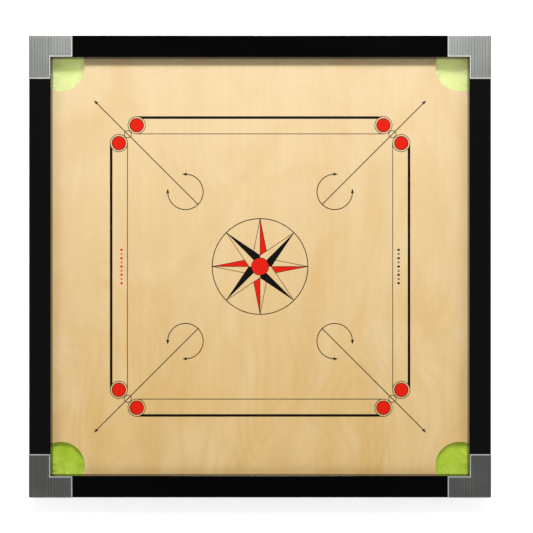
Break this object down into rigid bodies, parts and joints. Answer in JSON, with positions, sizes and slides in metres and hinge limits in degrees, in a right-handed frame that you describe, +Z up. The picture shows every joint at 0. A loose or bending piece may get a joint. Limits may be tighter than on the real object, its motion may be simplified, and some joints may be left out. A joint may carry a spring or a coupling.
{
  "type": "carrom board",
  "caption": "Square carrom board with black mitred rails, a printed plywood playing surface, cloth corner pockets and ribbed corner guards.",
  "frame": {"origin": "centre of the board, on the plane that its rails stand on", "axes": "+Z up out of the playing surface, +Y towards the back rail, +X towards the right rail"},
  "size_m": [0.815, 0.815, 0.0505],
  "materials": {
    "frame_lacquer": "gloss black lacquer",
    "playing_ply": "clear lacquered birch veneer",
    "batten_wood": "planed softwood",
    "spline_wood": "plain hardwood",
    "guard_sheet": "satin ribbed grey with a white edge",
    "pouch_cloth": "satin lime cloth",
    "fastener_steel": "zinc plated",
    "ink_black": "printed ink",
    "ink_red": "printed ink"
  },
  "bodies": {
    "root": {"rail_front": "frame_lacquer", "rail_back": "frame_lacquer", "rail_left": "frame_lacquer", "rail_right": "frame_lacquer", "playing_surface": "playing_ply", "batten_left": "batten_wood", "batten_right": "batten_wood", "batten_cross": "batten_wood", "mitre_spline_back_right": "spline_wood", "mitre_spline_back_left": "spline_wood", "mitre_spline_front_left": "spline_wood", "mitre_spline_front_right": "spline_wood", "corner_guard_back_right": "guard_sheet", "corner_guard_back_left": "guard_sheet", "corner_guard_front_left": "guard_sheet", "corner_guard_front_right": "guard_sheet", "pocket_pouch_back_right": "pouch_cloth", "pocket_pouch_back_left": "pouch_cloth", "pocket_pouch_front_left": "pouch_cloth", "pocket_pouch_front_right": "pouch_cloth", "panel_pins": "fastener_steel", "corner_nails": "fastener_steel", "guard_pins": "fastener_steel", "batten_screws": "fastener_steel", "pouch_staples": "fastener_steel"}
  },
  "joints": []
}
